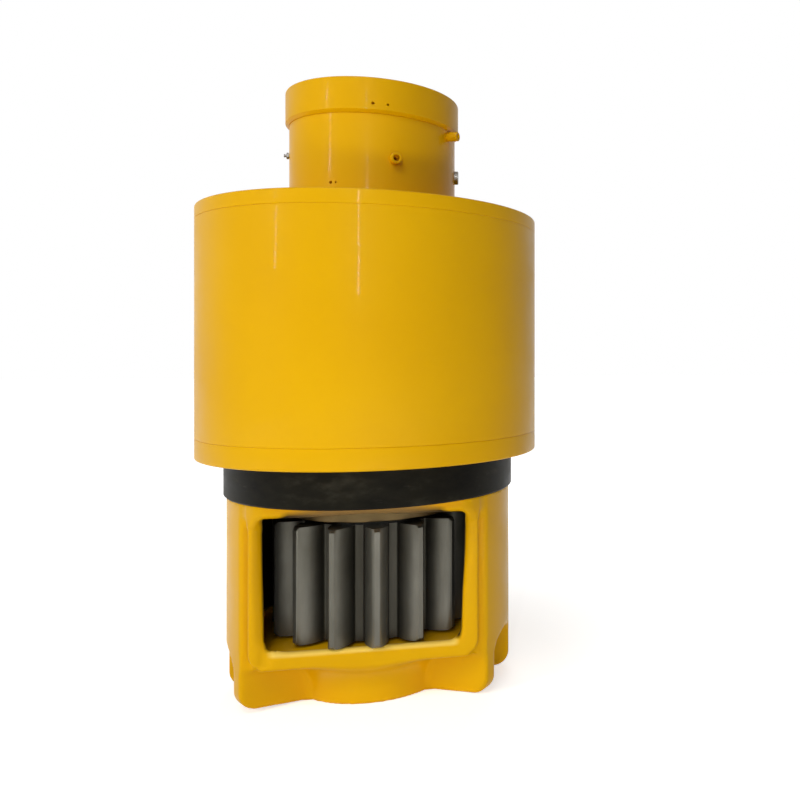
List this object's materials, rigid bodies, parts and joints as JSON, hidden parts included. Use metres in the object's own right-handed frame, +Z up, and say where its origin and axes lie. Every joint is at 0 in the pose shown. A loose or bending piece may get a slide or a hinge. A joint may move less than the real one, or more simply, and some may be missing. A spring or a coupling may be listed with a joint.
{
  "type": "excavator swing gearbox",
  "caption": "Vertical planetary swing gearbox with motor collar, brake neck, wide gear case, dark pilot ring and a pinion in a windowed cage.",
  "frame": {"origin": "on the axis at the foot of the cage, where boss and fins stand", "axes": "+Z up along the shaft axis; the cage's window faces -Y; +X to the right of it"},
  "size_m": [0.6, 0.6, 1.073],
  "materials": {
    "yellow_paint": "gloss industrial enamel",
    "black_coating": "semi-gloss protective coating",
    "pinion_steel": "hardened and ground, lightly oiled",
    "gear_steel": "hobbed and case hardened",
    "bearing_steel": "ground",
    "machined_steel": "turned",
    "bolt_steel": "zinc plated",
    "bronze": "machined bronze",
    "seal_rubber": "moulded",
    "spring_steel": "phosphated",
    "brake_lining": "sintered lining"
  },
  "bodies": {
    "casing": {"pinion_housing": "yellow_paint", "pilot_ring": "black_coating", "gear_case": "yellow_paint", "second_ring_gear": "gear_steel", "first_ring_gear": "gear_steel", "ring_gear_pins": "bolt_steel", "brake_housing": "yellow_paint", "case_bolts": "bolt_steel", "motor_adapter": "yellow_paint", "adapter_screws": "bolt_steel", "upper_outer_race": "bearing_steel", "lower_outer_race": "bearing_steel", "input_outer_race": "bearing_steel", "seal_carrier": "machined_steel", "shaft_seal": "seal_rubber", "bearing_retainer": "machined_steel", "retainer_screws": "bolt_steel", "lower_bearing_cover": "yellow_paint", "lower_cover_screws": "bolt_steel", "vent_stub": "yellow_paint", "brake_port": "yellow_paint", "side_plug": "bolt_steel", "bleed_nipple": "bolt_steel", "brake_plates": "machined_steel", "input_bearing_circlip": "spring_steel", "o_rings": "seal_rubber", "brake_springs": "spring_steel"},
    "output": {"pinion_shaft": "pinion_steel", "second_carrier": "machined_steel", "second_planet_pins": "bearing_steel", "second_washers": "bronze", "upper_inner_race": "bearing_steel", "lower_inner_race": "bearing_steel", "lower_bearing_circlip": "spring_steel", "carrier_snap_ring": "spring_steel"},
    "middle_carrier": {"first_carrier": "machined_steel", "first_planet_pins": "bearing_steel", "first_washers": "bronze", "second_sun_gear": "gear_steel"},
    "input": {"input_shaft": "machined_steel", "first_sun_gear": "gear_steel", "friction_discs": "brake_lining", "input_inner_race": "bearing_steel"},
    "piston": {"brake_piston": "machined_steel", "piston_seals": "seal_rubber"},
    "upper_roller_set": {"upper_rollers": "bearing_steel"},
    "lower_roller_set": {"lower_rollers": "bearing_steel"},
    "input_ball_set": {"input_balls": "bearing_steel"},
    "second_planet_gear_1": {"second_planet_1": "gear_steel", "second_bush_1": "bronze"},
    "first_planet_gear_1": {"first_planet_1": "gear_steel", "first_bush_1": "bronze"},
    "second_planet_gear_2": {"second_planet_2": "gear_steel", "second_bush_2": "bronze"},
    "first_planet_gear_2": {"first_planet_2": "gear_steel", "first_bush_2": "bronze"},
    "second_planet_gear_3": {"second_planet_3": "gear_steel", "second_bush_3": "bronze"},
    "first_planet_gear_3": {"first_planet_3": "gear_steel", "first_bush_3": "bronze"}
  },
  "joints": [
    {"name": "output_spin", "type": "hinge", "parent": "casing", "child": "output", "pos_m": [0, 0, 0], "axis": [0, 0, 1], "continuous": true},
    {"name": "middle_spin", "type": "hinge", "parent": "casing", "child": "middle_carrier", "pos_m": [0, 0, 0], "axis": [0, 0, 1], "continuous": true},
    {"name": "input_spin", "type": "hinge", "parent": "casing", "child": "input", "pos_m": [0, 0, 0], "axis": [0, 0, 1], "continuous": true},
    {"name": "upper_roller_spin", "type": "hinge", "parent": "casing", "child": "upper_roller_set", "pos_m": [0, 0, 0], "axis": [0, 0, 1], "continuous": true},
    {"name": "lower_roller_spin", "type": "hinge", "parent": "casing", "child": "lower_roller_set", "pos_m": [0, 0, 0], "axis": [0, 0, 1], "continuous": true},
    {"name": "input_ball_spin", "type": "hinge", "parent": "casing", "child": "input_ball_set", "pos_m": [0, 0, 0], "axis": [0, 0, 1], "continuous": true},
    {"name": "second_planet_spin_1", "type": "hinge", "parent": "output", "child": "second_planet_gear_1", "pos_m": [0.156, 0, 0], "axis": [0, 0, 1], "continuous": true},
    {"name": "first_planet_spin_1", "type": "hinge", "parent": "middle_carrier", "child": "first_planet_gear_1", "pos_m": [0.135, 0, 0], "axis": [0, 0, 1], "continuous": true},
    {"name": "second_planet_spin_2", "type": "hinge", "parent": "output", "child": "second_planet_gear_2", "pos_m": [-0.078, 0.1351, 0], "axis": [0, 0, 1], "continuous": true},
    {"name": "first_planet_spin_2", "type": "hinge", "parent": "middle_carrier", "child": "first_planet_gear_2", "pos_m": [-0.0675, 0.11691, 0], "axis": [0, 0, 1], "continuous": true},
    {"name": "second_planet_spin_3", "type": "hinge", "parent": "output", "child": "second_planet_gear_3", "pos_m": [-0.078, -0.1351, 0], "axis": [0, 0, 1], "continuous": true},
    {"name": "first_planet_spin_3", "type": "hinge", "parent": "middle_carrier", "child": "first_planet_gear_3", "pos_m": [-0.0675, -0.11691, 0], "axis": [0, 0, 1], "continuous": true},
    {"name": "brake_release", "type": "slide", "parent": "casing", "child": "piston", "axis": [0, 0, 1], "range_m": [0, 0.003], "stiffness_N_per_m": 40000, "springref_m": -0.004, "deforming": ["brake_springs"]}
  ],
  "couplings": [
    {"joint": "middle_spin", "follows": "output_spin", "ratio": 4.3333},
    {"joint": "input_spin", "follows": "output_spin", "ratio": 26},
    {"joint": "upper_roller_spin", "follows": "output_spin", "ratio": 0.42286},
    {"joint": "lower_roller_spin", "follows": "output_spin", "ratio": 0.42161},
    {"joint": "input_ball_spin", "follows": "output_spin", "ratio": 10.59},
    {"joint": "second_planet_spin_1", "follows": "output_spin", "ratio": -2.8571},
    {"joint": "first_planet_spin_1", "follows": "output_spin", "ratio": -10.833},
    {"joint": "second_planet_spin_2", "follows": "output_spin", "ratio": -2.8571},
    {"joint": "first_planet_spin_2", "follows": "output_spin", "ratio": -10.833},
    {"joint": "second_planet_spin_3", "follows": "output_spin", "ratio": -2.8571},
    {"joint": "first_planet_spin_3", "follows": "output_spin", "ratio": -10.833}
  ]
}
